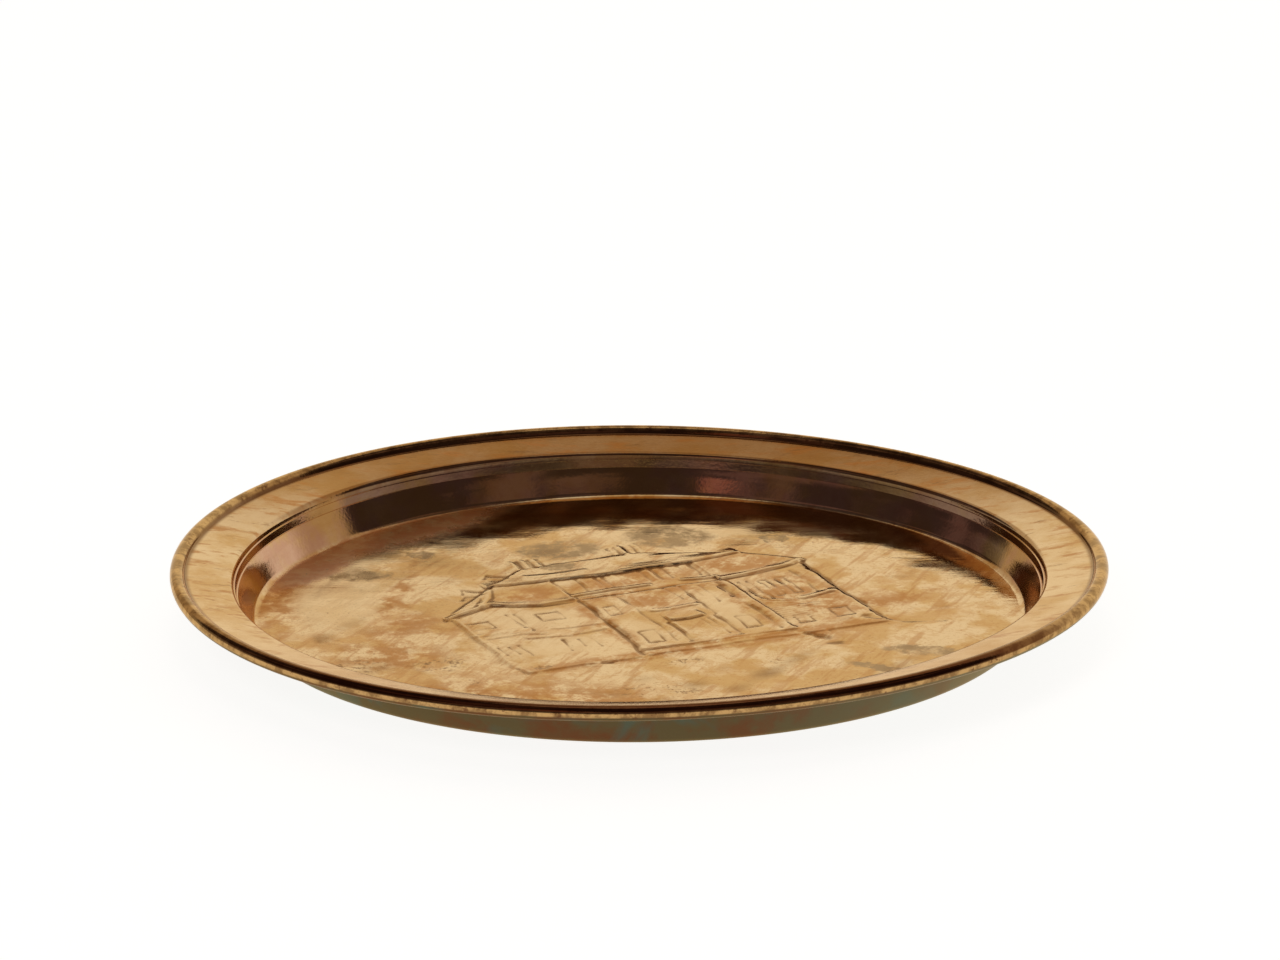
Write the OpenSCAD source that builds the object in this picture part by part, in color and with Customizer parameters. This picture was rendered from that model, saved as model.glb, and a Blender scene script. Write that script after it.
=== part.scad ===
// A round metal dish on a flat base: a shallow well with a building raised in its floor,
// a stepped shoulder, a narrow flange, and a rim that is rolled over a wire.
// Millimetres, +Z up. The origin is at the centre of the base, on the table.

/* [Plate] */
// Outside diameter over the rolled rim
rim_d = 250; // [180:1:320]
// Height from the table to the top of the rim
plate_h = 17.8; // [15:0.1:20]
// Thickness of the sheet
sheet = 1; // [0.8:0.1:1.2]

/* [Rolled rim] */
// Diameter of the wire inside the rim
wire_d = 1.9; // [1.6:0.1:2.4]
// Gap all round between the wire and the sheet rolled over it
wire_clear = 0.05; // [0.03:0.01:0.15]
// Gap between the two ends of the wire
wire_joint = 0.6; // [0.3:0.1:2]
// Width of the seam where the rolled edge meets the flange's underside
seam_w = 0.25; // [0.1:0.05:0.5]
// How far the rolled rim's top stands above the flange beside it
bead_rise = 1.8; // [1.4:0.1:2]

/* [Flange] */
// Width of the flange between the rolled rim and the shoulder
flange_w = 12.5; // [7:0.5:18]
// How far the flange falls from the rim to the shoulder
flange_fall = 2; // [1:0.1:3]
// Radius of the rounded shoulder at the flange's inner edge
shoulder_r = 1.8; // [1.5:0.1:2]

/* [Well] */
// Depth of each of the two steep steps below the shoulder
step_drop = 2.1; // [1.5:0.1:2.5]
// How far each step leans in
step_run = 0.4; // [0.3:0.1:0.6]
// Width of the narrow ledge under each step
ledge_w = 0.35; // [0.2:0.05:0.5]
// How far each ledge falls
ledge_fall = 0.15; // [0.05:0.05:0.3]
// Width of the sloping wall between the ledge and the floor
wall_run = 4; // [2.5:0.5:6]
// Radius of the cove between the wall and the floor
cove_r = 2.2; // [1.5:0.1:3]

/* [Raised building] */
// Height of each raised layer over the one behind it
layer = 0.35; // [0.2:0.05:0.5]
// Turn of the building about the vertical axis, in degrees
building_turn = 23.5; // [0:0.5:45]
// Place of the foot of the middle bay on the floor, across
building_x = 20; // [12:1:24]
// Place of the foot of the middle bay on the floor, away
building_y = -24.5; // [-30:0.5:-20]
// Width of the middle bay
bay_w = 41; // [36:1:46]
// Width of the left wing
left_wing_w = 36; // [30:1:40]
// Width of the right wing
right_wing_w = 28; // [26:1:32]
// Height of the front from the ground to the lower eaves
front_h = 45; // [42:1:48]
// Height of the upper storey
storey_h = 17; // [14:1:20]
// Height of the roof
roof_h = 13; // [8:1:16]
// Width of the ridge
ridge_w = 32; // [20:1:40]
// How far the lower eaves reach past the wings
eave_reach = 2.5; // [1:0.5:4]
// How far the lower eaves lift at the roof's corners
eave_lift = 5; // [2:0.5:7]
// Width of a chimney
chimney_w = 1.6; // [1.2:0.2:2.4]
// Height of the chimneys over the ridge
chimney_h = 7; // [4:1:8]
// Width of a pilaster
pilaster_w = 2.4; // [1.6:0.2:3.2]
// Width of a moulding or a belt course
moulding_w = 1.4; // [1:0.1:1.8]
// Height of the lowest belt course over the ground
belt_v = 20; // [18:0.5:21]
// Width of a window frame's bars
frame_w = 1.1; // [0.8:0.1:1.4]
// Width of a window
window_w = 6; // [5:0.5:7]
// Height of a window
window_h = 8; // [6:0.5:9]
// Height of the upper windows' sills over the ground
upper_sill = 31; // [30:0.5:33]
// Height of the lower windows' sills over the ground
lower_sill = 5; // [3:0.5:8]
// Number of panels in the upper storey
panels = 5; // [3:1:6]
// Width of a panel
panel_w = 3.6; // [3:0.2:4.4]
// Width of the canopy over the door
canopy_w = 15; // [13:1:18]
// Height of the canopy
canopy_h = 7; // [5:1:8]
// Width of the door
door_w = 9; // [8:0.5:10]
// Height of the door
door_h = 18; // [15:1:19]
// Height of the plinth below the front
plinth_h = 4; // [2:0.5:6]

/* [Hidden] */
$fn = 180;
arc_steps = 6;          // straight pieces in each rounded corner of the section
overlap = 0.3;          // how deep a raised layer is rooted in the floor

bead_r = wire_d / 2 + wire_clear + sheet;
bead_mid = [rim_d / 2 - bead_r, plate_h - bead_r];
crease_r = rim_d / 2 - 2 * bead_r;
seam_angle = 205;       // just under the flange, seen from the wire's middle

flange_out = [crease_r, plate_h - bead_rise];
shoulder = flange_out + [-flange_w, -flange_fall];
upper_foot = shoulder + [-step_run, -step_drop];
upper_ledge = upper_foot + [-ledge_w, -ledge_fall];
lower_foot = upper_ledge + [-step_run, -step_drop];
lower_ledge = lower_foot + [-ledge_w, -ledge_fall];
floor_edge = [lower_ledge.x - wall_run, sheet];

storey_v = front_h + storey_h;
ridge_v = storey_v + roof_h;
left_end = -bay_w / 2 - left_wing_w;
right_end = bay_w / 2 + right_wing_w;
storey_left = left_end + left_wing_w / 2;
storey_right = right_end - right_wing_w / 2;
left_eave = [
    [left_end - eave_reach, front_h],
    [left_end + left_wing_w / 3, front_h + eave_lift],
    [-bay_w / 2, front_h]
];
right_eave = [
    [bay_w / 2, front_h],
    [storey_right, front_h + eave_lift / 3],
    [right_end + eave_reach, front_h + eave_lift]
];

function unit(v) = v / norm(v);

// The points of an arc of radius r that rounds the corner b between a and c.
function rounded(a, b, c, r) =
    let (
        to_a = unit(a - b),
        to_c = unit(c - b),
        half = acos(to_a * to_c) / 2,
        mid = b + unit(to_a + to_c) * r / sin(half),
        from = b + to_a * r / tan(half) - mid,
        to = b + to_c * r / tan(half) - mid,
        turn = sign(cross(from, to)) * (180 - 2 * half)
    )
    [for (i = [0:arc_steps])
        let (step = turn * i / arc_steps)
        mid + [
            from.x * cos(step) - from.y * sin(step),
            from.x * sin(step) + from.y * cos(step)
        ]];

// The corner b of the chain a, b, c, moved so that both sides shift by d to their right.
function shifted(a, b, c, d) =
    let (
        first = unit(b - a),
        second = unit(c - b),
        side = unit([first.y + second.y, -first.x - second.x])
    )
    b + side * d / (side * [first.y, -first.x]);

// The sheet's section, from the middle of the floor out to the wire.
module sheet_section() {
    under_floor = [floor_edge.x - 10, sheet];
    flange_end = flange_out + [bead_r, bead_r * flange_fall / flange_w];
    under_cove = shifted(under_floor, floor_edge, upper_foot, sheet);
    under_step = shifted(floor_edge, upper_foot, shoulder, sheet);
    under_shoulder = shifted(upper_foot, shoulder, flange_out, sheet);
    under_flange = flange_end - [0, sheet];
    polygon(concat(
        [[0, 0], [0, sheet]],
        rounded(under_floor, floor_edge, lower_ledge, cove_r),
        [lower_ledge, lower_foot, upper_ledge, upper_foot],
        rounded(upper_foot, shoulder, flange_out, shoulder_r),
        [flange_end, under_flange],
        rounded(under_flange, under_shoulder, under_step, shoulder_r - sheet),
        [under_step],
        rounded(under_step, under_cove, [0, 0], cove_r + sheet)
    ));
}

// The sheet with its edge rolled up, over and under the wire.
module rolled_sheet() {
    rotate_extrude()
        difference() {
            union() {
                sheet_section();
                translate(bead_mid) circle(r = bead_r);
            }
            translate(bead_mid) {
                circle(r = wire_d / 2 + wire_clear);
                rotate(seam_angle) square([bead_r + 1, seam_w]);
            }
        }
}

// Everything of the building is drawn upright in its own frame: u runs across its front and
// v up from the ground. Each layer stands that many steps proud of the floor.
module raised(layers)
    translate([0, 0, sheet - overlap])
        linear_extrude(overlap + layers * layer) children();

module slab(u, v, w, h, layers)
    raised(layers) translate([u, v]) square([w, h]);

// A frame of four bars round an opening of w by h.
module surround(u, v, w, h, layers) {
    outer_w = w + 2 * frame_w;
    for (side = [u - frame_w, u + w])
        slab(side, v, frame_w, h, layers);
    for (level = [v - frame_w, v + h])
        slab(u - frame_w, level, outer_w, frame_w, layers);
}

module walls() {
    raised(1) intersection() {
        polygon(concat(left_eave, right_eave, [[right_end, 0], [left_end, 0]]));
        translate([left_end, 0]) square([right_end - left_end, front_h + eave_lift]);
    }
    slab(-bay_w / 2, 0, bay_w, storey_v, 2);
    slab(left_end, -plinth_h, right_end - left_end, plinth_h, 2);
}

module roofs() {
    raised(2) polygon(concat(left_eave, [[-bay_w / 2, storey_v], [storey_left, storey_v]]));
    raised(2) polygon(concat(right_eave, [[storey_right, storey_v], [bay_w / 2, storey_v]]));
    raised(3) polygon([
        [storey_left, storey_v], [storey_right, storey_v],
        [ridge_w / 2, ridge_v], [-ridge_w / 2, ridge_v]
    ]);
    for (side = [-1, 1], place = [-chimney_w * 1.5, chimney_w * 1.5])
        slab(side * ridge_w / 3 + place - chimney_w / 2, ridge_v - overlap, chimney_w, chimney_h, 2);
}

module mouldings() {
    slab(storey_left, storey_v - moulding_w, storey_right - storey_left, moulding_w, 4);
    slab(-bay_w / 2, front_h + 2 * moulding_w, bay_w, moulding_w, 4);
    slab(-bay_w / 2, front_h - moulding_w, bay_w, moulding_w, 3);
    for (row = [0:2]) {
        slab(left_end, belt_v + row * 2 * moulding_w, left_wing_w, moulding_w, 1.6);
        slab(bay_w / 2, belt_v + row * 2 * moulding_w, right_wing_w, moulding_w, 1.6);
    }
}

module pilasters() {
    porch = canopy_w / 2 + pilaster_w / 2;
    for (u = [-bay_w / 2, -porch, porch - pilaster_w, bay_w / 2 - pilaster_w])
        slab(u, 0, pilaster_w, front_h, 3);
    for (u = [left_end, right_end - pilaster_w])
        slab(u, 0, pilaster_w, front_h, 2);
    over_belts = belt_v + 4 * moulding_w;
    slab(storey_left - pilaster_w / 2, over_belts, pilaster_w, front_h - over_belts, 2);
}

module windows() {
    aside = pilaster_w + 2 * frame_w;
    for (u = [left_end + aside, storey_left + aside, bay_w / 2 + aside, right_end - aside - window_w],
         v = [lower_sill, upper_sill])
        surround(u, v, window_w, window_h, 2);
    pitch = (bay_w - 2 * pilaster_w) / panels;
    panel_v = front_h + 4 * moulding_w;
    for (i = [0:panels - 1])
        surround((i - (panels - 1) / 2) * pitch - panel_w / 2, panel_v,
                 panel_w, storey_v - 2 * moulding_w - panel_v, 3);
}

module door() {
    surround(-door_w / 2, 0, door_w, door_h, 4);
    slab(-frame_w / 2, 0, frame_w, door_h, 3);
    canopy_v = door_h + frame_w;
    slab(-canopy_w / 2, canopy_v, canopy_w, canopy_h, 4);
    slab(-canopy_w / 2 - frame_w, canopy_v + canopy_h, canopy_w + 2 * frame_w, frame_w, 5);
}

module building()
    translate([building_x, building_y, 0]) rotate(building_turn) {
        walls();
        roofs();
        mouldings();
        pilasters();
        windows();
        door();
    }

module dish()
    color([0.78, 0.58, 0.36]) union() {
        rolled_sheet();
        building();
    }

// A round wire bent to a ring, open by a hair where its two ends meet.
module edge_wire()
    color([0.48, 0.38, 0.26]) {
        joint_angle = wire_joint / bead_mid.x * 180 / PI;
        rotate(90 + joint_angle / 2)
            rotate_extrude(angle = 360 - joint_angle)
                translate(bead_mid) circle(d = wire_d);
    }

dish();
edge_wire();
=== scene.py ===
# %% [markdown]
# # A copper dish with a rolled rim
# The object is one round sheet of copper alloy: a flat floor with a building raised in low
# relief, a sloping wall, a stepped shoulder, a flange, and an edge rolled over a wire.
# The frame that comes from the CAD model fixes its size and place. This lesson models the
# sheet and the wire again in finer detail inside that frame, and gives them their finish.

# %% Load the frame
import math

import bmesh
import bpy
import numpy as np
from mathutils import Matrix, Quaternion, Vector


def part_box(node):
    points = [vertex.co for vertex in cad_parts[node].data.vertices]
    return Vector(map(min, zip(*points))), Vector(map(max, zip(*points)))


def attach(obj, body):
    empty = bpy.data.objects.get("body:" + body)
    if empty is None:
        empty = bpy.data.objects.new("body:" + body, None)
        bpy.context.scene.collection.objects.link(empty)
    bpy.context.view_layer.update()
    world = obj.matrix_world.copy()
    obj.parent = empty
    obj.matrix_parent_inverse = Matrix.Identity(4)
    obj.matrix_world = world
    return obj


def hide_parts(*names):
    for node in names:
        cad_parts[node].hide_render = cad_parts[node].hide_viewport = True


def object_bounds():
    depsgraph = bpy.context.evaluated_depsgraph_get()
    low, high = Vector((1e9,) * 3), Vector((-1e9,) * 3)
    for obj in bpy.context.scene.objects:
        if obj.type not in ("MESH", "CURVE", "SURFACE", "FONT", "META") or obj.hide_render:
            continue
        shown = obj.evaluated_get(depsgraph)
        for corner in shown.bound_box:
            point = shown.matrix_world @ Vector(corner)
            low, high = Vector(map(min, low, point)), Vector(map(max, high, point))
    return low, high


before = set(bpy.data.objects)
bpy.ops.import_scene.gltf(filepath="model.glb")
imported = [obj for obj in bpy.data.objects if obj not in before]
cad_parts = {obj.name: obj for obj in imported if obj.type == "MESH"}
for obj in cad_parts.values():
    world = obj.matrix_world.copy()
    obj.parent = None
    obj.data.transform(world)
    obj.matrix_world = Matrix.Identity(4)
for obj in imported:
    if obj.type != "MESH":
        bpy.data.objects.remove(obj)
cad_low, cad_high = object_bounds()
print("CAD box in metres:", list(cad_low), list(cad_high))

# %% [markdown]
# ## The camera
# A long lens from far away flattens the circles of a dish into clean ellipses. The camera
# stands 14 rim radii away, a little above the table, and points above the dish so that the
# dish sits in the lower half of the picture. A slight roll tips the table to the left.

# %% Camera
sight_angle = math.radians(18.4)
toward_camera = Vector((0, -math.cos(sight_angle), math.sin(sight_angle)))
view_up = Vector((0, math.sin(sight_angle), math.cos(sight_angle)))

camera_data = bpy.data.cameras.new("camera")
camera_data.sensor_width = 36
camera_data.lens = 184
camera = bpy.data.objects.new("camera", camera_data)
camera.location = toward_camera * 14 * cad_high.x  # fourteen rim radii away
aim = view_up * 0.036 + Vector((0.0004, 0, 0))
camera_roll = Quaternion((0, 0, 1), math.radians(-0.4))
camera.rotation_mode = "QUATERNION"
camera.rotation_quaternion = (aim - camera.location).to_track_quat("-Z", "Y") @ camera_roll
bpy.context.collection.objects.link(camera)
bpy.context.scene.camera = camera
print("camera at", [round(x, 3) for x in camera.location])

# %% [markdown]
# ## Small helpers for materials
# A material is a tree of nodes. These helpers add one node each and return its socket, so
# that a finish further down reads as a recipe: mix this tone over that one, by this share.

# %% Helpers for node trees
def new_material(name):
    material = bpy.data.materials.new(name)
    material.use_nodes = True
    tree = material.node_tree
    return material, tree, tree.nodes["Principled BSDF"]


def add(tree, kind, settings=None, **inputs):
    """Adds one node. Inputs are values or sockets, by socket name or as i0, i1 and so on."""
    node = tree.nodes.new("ShaderNode" + kind)
    for key, value in (settings or {}).items():
        setattr(node, key, value)
    for name, value in inputs.items():
        numbered = name[0] == "i" and name[1:].isdigit()
        socket = node.inputs[int(name[1:]) if numbered else name]
        if isinstance(value, bpy.types.NodeSocket):
            tree.links.new(value, socket)
        else:
            socket.default_value = value
    return node


def maths(tree, operation, first, second=0.0, third=0.0):
    return add(tree, "Math", {"operation": operation}, i0=first, i1=second, i2=third).outputs[0]


def times(tree, first, second):
    """A share of a share."""
    return maths(tree, "MULTIPLY", first, second)


def ramp(tree, value, low, high, to_low=0.0, to_high=1.0):
    """Maps low..high smoothly to to_low..to_high and holds the ends."""
    settings = {"interpolation_type": "SMOOTHSTEP"}
    node = add(tree, "MapRange", settings, i0=value, i1=low, i2=high, i3=to_low, i4=to_high)
    return node.outputs[0]


def blend_colour(tree, share, first, second):
    """The first colour with a share of the second laid over it."""
    node = add(tree, "Mix", {"data_type": "RGBA", "clamp_factor": True})
    for index, value in ((0, share), (6, first), (7, second)):
        if isinstance(value, bpy.types.NodeSocket):
            tree.links.new(value, node.inputs[index])
        else:
            node.inputs[index].default_value = value if index == 0 else (*value, 1.0)
    return node.outputs[2]


# %% [markdown]
# ## The table
# The dish lies on a pale studio table that runs out of sight. It glows a little by itself,
# as a backlit light table does, so that it stays nearly white without a hard lamp over it.

# %% Table
table_material, tree, shader = new_material("pale table")
shader.inputs["Base Color"].default_value = (0.42, 0.42, 0.415, 1)
shader.inputs["Roughness"].default_value = 0.9
shader.inputs["Specular IOR Level"].default_value = 0.1
shader.inputs["Emission Color"].default_value = (1.0, 1.0, 0.985, 1)
shader.inputs["Emission Strength"].default_value = 0.9

TABLE_RADIUS = 14
bm = bmesh.new()
bmesh.ops.create_circle(bm, cap_ends=True, segments=64, radius=TABLE_RADIUS)
table_mesh = bpy.data.meshes.new("table")
bm.to_mesh(table_mesh)
bm.free()
table_mesh.materials.append(table_material)
table = bpy.data.objects.new("table", table_mesh)
bpy.context.collection.objects.link(table)
print("table", TABLE_RADIUS, "m in radius")

# %% [markdown]
# ## The room around the dish
# Polished metal shows its surroundings more than its own colour, so the room is drawn with
# care. Its bright side lies in front of the camera and low down, and the flat floor of the
# dish mirrors it. Above that comes a dimmer warm zone, and the side behind the camera is dim,
# so the far wall of the dish goes dark. A few lighter patches break that dark up: a pink one
# with a small spark, a pale band along the horizon, one behind the camera and one overhead.

# %% Sky
def glow(tree, direction, toward, wide, soft, strength):
    """A round light patch of the room, seen in one direction; wide and soft are in degrees."""
    toward = tuple(Vector(toward).normalized())
    facing = add(tree, "VectorMath", {"operation": "DOT_PRODUCT"}, i0=direction, i1=toward)
    outer, inner = math.cos(math.radians(wide + soft)), math.cos(math.radians(wide - soft))
    return ramp(tree, facing.outputs["Value"], outer, inner, 0, strength)


sky = bpy.data.worlds.new("room")
bpy.context.scene.world = sky
sky.use_nodes = True
tree = sky.node_tree
direction = add(tree, "TexCoord").outputs["Generated"]
window = glow(tree, direction, (0.333, 0.924, -0.187), 46, 6, 1)
above_window = glow(tree, direction, (0.333, 0.924, -0.187), 67.5, 2.5, 1)
parts = add(tree, "SeparateXYZ", i0=direction).outputs
height = parts["Z"]
low_band = ramp(tree, height, 0.30, 0.06)
behind = times(tree, ramp(tree, height, 0.52, 0.44), ramp(tree, height, 0.30, 0.38))
behind = times(tree, behind, ramp(tree, parts["Y"], -0.35, -0.6))
overhead = glow(tree, direction, (0, 0.26, 0.966), 13, 3, 1)
furniture = add(tree, "TexNoise", Vector=direction, Scale=3.2, Detail=3.0, Roughness=0.6)
patches = ramp(tree, furniture.outputs["Fac"], 0.50, 0.60)
dim = blend_colour(tree, patches, (0.052, 0.037, 0.036), (0.15, 0.10, 0.097))
pink = glow(tree, direction, (-0.30, -0.80, 0.53), 13, 2, 0.8)
pink = times(tree, pink, ramp(tree, furniture.outputs["Fac"], 0.44, 0.50))
dim = blend_colour(tree, pink, dim, (0.40, 0.20, 0.17))
spark = glow(tree, direction, (-0.20, -0.83, 0.52), 1.8, 0.6, 1)
dim = blend_colour(tree, spark, dim, (1.3, 1.2, 1.15))
dim = blend_colour(tree, low_band, dim, (0.40, 0.38, 0.36))
dim = blend_colour(tree, behind, dim, (0.34, 0.31, 0.28))
dim = blend_colour(tree, overhead, dim, (0.74, 0.69, 0.63))
light = blend_colour(tree, above_window, dim, (0.62, 0.52, 0.42))
light = blend_colour(tree, window, light, (1.06, 1.05, 1.03))
tree.links.new(light, tree.nodes["Background"].inputs["Color"])
bpy.context.scene.view_settings.view_transform = "Standard"

# %% [markdown]
# ## The lamp
# One broad soft lamp at the left gives the matt parts a direction. It is hidden from mirror
# reflections, or it would stand in the far wall of the dish as a pale block.

# %% Lamp
lamp = bpy.data.lights.new("softbox", "AREA")
lamp.size = 0.8
lamp.energy = 3
softbox = bpy.data.objects.new("softbox", lamp)
softbox.location = (-0.9, -1.2, 1.5)
softbox.rotation_euler = (-softbox.location).to_track_quat("-Z", "Y").to_euler()
softbox.visible_glossy = False
bpy.context.collection.objects.link(softbox)
print("lamps:", softbox.name)

# %% [markdown]
# ## The section of the sheet
# A pressed or spun dish is a section swept round an axis, so its section is drawn once and
# spun. Sizes are in millimetres here and become metres at the end. The sheet keeps its
# thickness nearly everywhere: only the two small ledges that the press coined below the
# shoulder make it a little thinner and thicker.

# %% Sizes of the section, in millimetres
MM = 0.001
rim_r = cad_high.x / MM
top = cad_high.z / MM
sheet = 1.0
wire_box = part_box("edge_wire")
wire_r = (wire_box[1].z - wire_box[0].z) / MM / 2
hole_r = wire_r + 0.05
bead_r = hole_r + sheet
bead_middle = Vector((rim_r - bead_r, top - bead_r))
flange_out = Vector((rim_r - 2 * bead_r, top - 1.8))
flange = Vector((-12.5, -2))
upper_step = Vector((-0.4, -2.1))
lower_step = Vector((-0.4, -2.13))
small_ledge = Vector((-0.35, -0.12))
wall_run = 4
shoulder_r = 1.8
cove_r = 2.2
coin_r = 0.14
shoulder = flange_out + flange
upper_foot = shoulder + upper_step
upper_ledge = upper_foot + small_ledge
lower_foot = upper_ledge + lower_step
lower_ledge = lower_foot + small_ledge
floor_edge = Vector((lower_ledge.x - wall_run, sheet))
join_r = 98.0
spin_steps = 240
print("radius of the floor and of the shoulder:", round(floor_edge.x, 2), round(shoulder.x, 2))

# %% Round corners and arcs
def rounded(before, corner, after, radius, steps=5):
    """The points of the arc that rounds a corner of the section."""
    back = (before - corner).normalized()
    ahead = (after - corner).normalized()
    half = back.angle(ahead) / 2
    middle = corner + (back + ahead).normalized() * radius / math.sin(half)
    start = corner + back * radius / math.tan(half) - middle
    end = corner + ahead * radius / math.tan(half) - middle
    turn = math.copysign(start.angle(end), start.x * end.y - start.y * end.x)
    angles = [turn * i / steps for i in range(steps + 1)]
    return [
        middle
        + Vector(
            (
                start.x * math.cos(a) - start.y * math.sin(a),
                start.x * math.sin(a) + start.y * math.cos(a),
            )
        )
        for a in angles
    ]


def arc(middle, radius, first, last, steps):
    """Points of an arc from one angle to another, in degrees."""
    turns = [math.radians(first + (last - first) * i / steps) for i in range(steps + 1)]
    return [middle + Vector((math.cos(a), math.sin(a))) * radius for a in turns]


# %% Top and underside of the section
inner_floor = Vector((join_r + 0.6, sheet))
inner_base = Vector((join_r + 0.6, 0))
top_side = [
    inner_floor,
    *rounded(inner_floor, floor_edge, lower_ledge, cove_r, 6),
    floor_edge.lerp(lower_ledge, 0.6),
    *rounded(floor_edge, lower_ledge, lower_foot, coin_r, 3),
    *rounded(lower_ledge, lower_foot, upper_ledge, coin_r, 3),
    *rounded(lower_foot, upper_ledge, upper_foot, coin_r, 3),
    *rounded(upper_ledge, upper_foot, shoulder, coin_r, 3),
    *rounded(upper_foot, shoulder, flange_out, shoulder_r, 7),
    shoulder.lerp(flange_out, 0.4),
    shoulder.lerp(flange_out, 0.7),
    shoulder.lerp(flange_out, 0.95),
    flange_out + Vector((-0.12, 0.01)),
]
roll = arc(bead_middle, bead_r, 165, -147, 26)
inside = arc(bead_middle, hole_r, -140, 205, 18)
under_flange = arc(bead_middle, bead_r, 205, 205, 1)[0]
under_shoulder = shoulder + Vector((0.75, -0.9))
under_step = upper_foot + Vector((0.98, -0.3))
under_cove = Vector((floor_edge.x + 0.68, 0))
under_side = [
    under_flange,
    under_flange.lerp(under_shoulder, 0.5),
    *rounded(under_flange, under_shoulder, under_step, 0.6, 3),
    under_step,
    *rounded(under_step, under_cove, inner_base, 3.2, 6),
    inner_base,
]

# %% Which points are outside, and which carry painted shade and grime
# The upper half of the bead is marked for the painted shade, with some rust, that the finish lays on its
# front.
LAST_SHADED_GRIMY = 12
LAST_BRIGHT = 15
section = [(p, 0.0, 0.0) for p in top_side]
for i, p in enumerate(roll):
    section.append((p, 1.0 if i > LAST_BRIGHT else 0.0, 0.9 if i <= LAST_SHADED_GRIMY else 0.0))
section += [(p, 1.0, 0.0) for p in inside + under_side]
print("section points:", len(section))

# %% [markdown]
# ## The building in the floor
# The picture was chased into the sheet: its masses are pushed up a few tenths of a
# millimetre, and its edges are drawn with a blunt tool. So the relief is a height over the
# floor, built from three marks: a soft-edged panel, a ledge that is steep on its lower side
# and dies away above, and a drawn line. Each mark is given one by one in the building's own
# upright frame, with u across the front and v up from the ground, in millimetres.

# %% Marks of the chasing tool
building_turn = math.radians(23.5)
building_foot = Vector((20, -24.5))


def to_building(x, y):
    across, away = x - building_foot.x, y - building_foot.y
    cos, sin = math.cos(building_turn), math.sin(building_turn)
    return across * cos + away * sin, away * cos - across * sin


def smooth(x):
    x = np.clip(x, 0, 1)
    return x * x * (3 - 2 * x)


def distance_to(u, v, points):
    """Distance from each place to an open chain of points."""
    best = np.full(u.shape, 1e9)
    for (au, av), (bu, bv) in zip(points, points[1:]):
        du, dv = bu - au, bv - av
        share = np.clip(((u - au) * du + (v - av) * dv) / (du * du + dv * dv), 0, 1)
        best = np.minimum(best, np.hypot(u - au - share * du, v - av - share * dv))
    return best


def inside_of(u, v, points):
    """True where a place lies within the closed outline."""
    within = np.zeros(u.shape, bool)
    for (au, av), (bu, bv) in zip(points, points[1:] + points[:1]):
        if av != bv:
            crosses = (av > v) != (bv > v)
            within ^= crosses & (u < (bu - au) * (v - av) / (bv - av) + au)
    return within


def panel(u, v, points, rise, soft=1.0):
    """A raised area with a soft edge."""
    edge = distance_to(u, v, points + points[:1])
    signed = np.where(inside_of(u, v, points), edge, -edge)
    return rise * smooth(signed / soft + 0.5)


def ledge(u, v, points, rise, face=0.9, tail=3.0):
    """A moulding along points from left to right, steep below and gentle above."""
    us, vs = zip(*points)
    over = v - np.interp(u, us, vs)
    shape = smooth(over / face + 1) * (1 - smooth(over / tail))
    ends = smooth((u - us[0]) / 0.8 + 0.5) * smooth((us[-1] - u) / 0.8 + 0.5)
    return rise * shape * ends


def line(u, v, points, rise, width=0.6):
    """A drawn ridge, or a groove where rise is negative."""
    return rise * np.exp(-((distance_to(u, v, points) / width) ** 2))


# %% [markdown]
# ### The big shapes
# Three wall fields and three roofs were pushed up from behind, one step each, and a low strip
# of ground below them. Each is an outline, a rise and the width of its soft edge.

# %% Masses of the building
WALLS = [
    (
        [(-57, 0), (-57, 44), (-43, 49), (-30, 46), (-20, 45), (22, 45), (36, 47), (48.5, 51), (48.5, 0)],
        0.22, 1.6,
    ),
    ([(-20.5, -1), (-20, 45), (23, 45), (23.5, -1)], 0.22, 1.0),
    ([(-21, 46), (-20.5, 63), (20.5, 63), (22.5, 46)], 0.2, 1.2),
    ([(-56, -5), (-56, 0), (49, 0), (49, -5)], 0.25, 1.6),
]
ROOFS = [
    (
        [(-59, 44.3), (-50, 48), (-43, 51), (-38, 48), (-30, 46), (-20, 46), (-21, 63), (-38, 64.5)],
        0.42, 1.2,
    ),
    ([(22, 46), (35, 47.5), (43, 49), (50.5, 53), (36.5, 65), (20.5, 63)], 0.4, 1.2),
    ([(-38.5, 65), (-15, 63), (0, 62.3), (15, 62.5), (36.5, 65), (27, 70), (8, 77), (-24, 76.5)], 0.5, 1.4),
]

print("wall fields and roofs:", len(WALLS), len(ROOFS))

# %% [markdown]
# ### Eaves and mouldings
# An eave is worked from below: its lower side is driven steep, and above it the metal eases
# back into the roof. Each is a chain of points, a rise, the width of the steep face and the
# length of the slope above it.

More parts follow.
